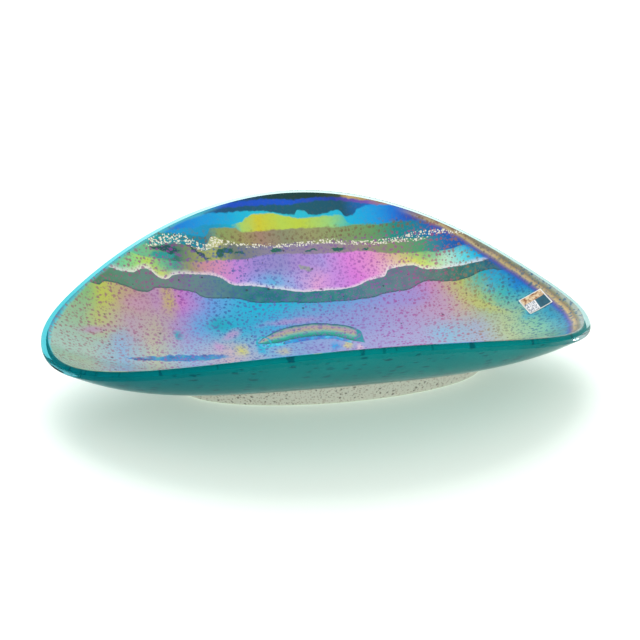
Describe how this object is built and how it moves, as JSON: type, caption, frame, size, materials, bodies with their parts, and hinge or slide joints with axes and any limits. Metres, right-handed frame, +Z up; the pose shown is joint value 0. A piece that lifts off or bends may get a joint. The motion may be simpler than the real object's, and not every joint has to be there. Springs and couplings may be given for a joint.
{
  "type": "art glass bowl",
  "caption": "Free-form oblong art glass bowl with raised front and back walls, low drawn-out ends, cased coloured glass, a lustre lining and an oval foot pad.",
  "frame": {"origin": "on the table, under the centre of the rim seen from above", "axes": "+X along the bowl towards its narrower low end, +Y towards the higher back wall, +Z up"},
  "size_m": [0.3743, 0.2519, 0.0991],
  "materials": {
    "clear_glass": "fire-polished clear glass",
    "teal_glass": "dense teal glass with dark specks",
    "lustre": "iridescent lustre, mirror-like, with fine red-brown specks",
    "flecked_glass": "pale glass with fine brown flecks",
    "label_paper": "white paper",
    "label_foil": null
  },
  "bodies": {
    "root": {"clear_casing": "clear_glass", "teal_layer": "teal_glass", "lustre_lining": "lustre", "foot_pad": "flecked_glass", "label_paper": "label_paper", "label_foil": "label_foil"}
  },
  "joints": []
}
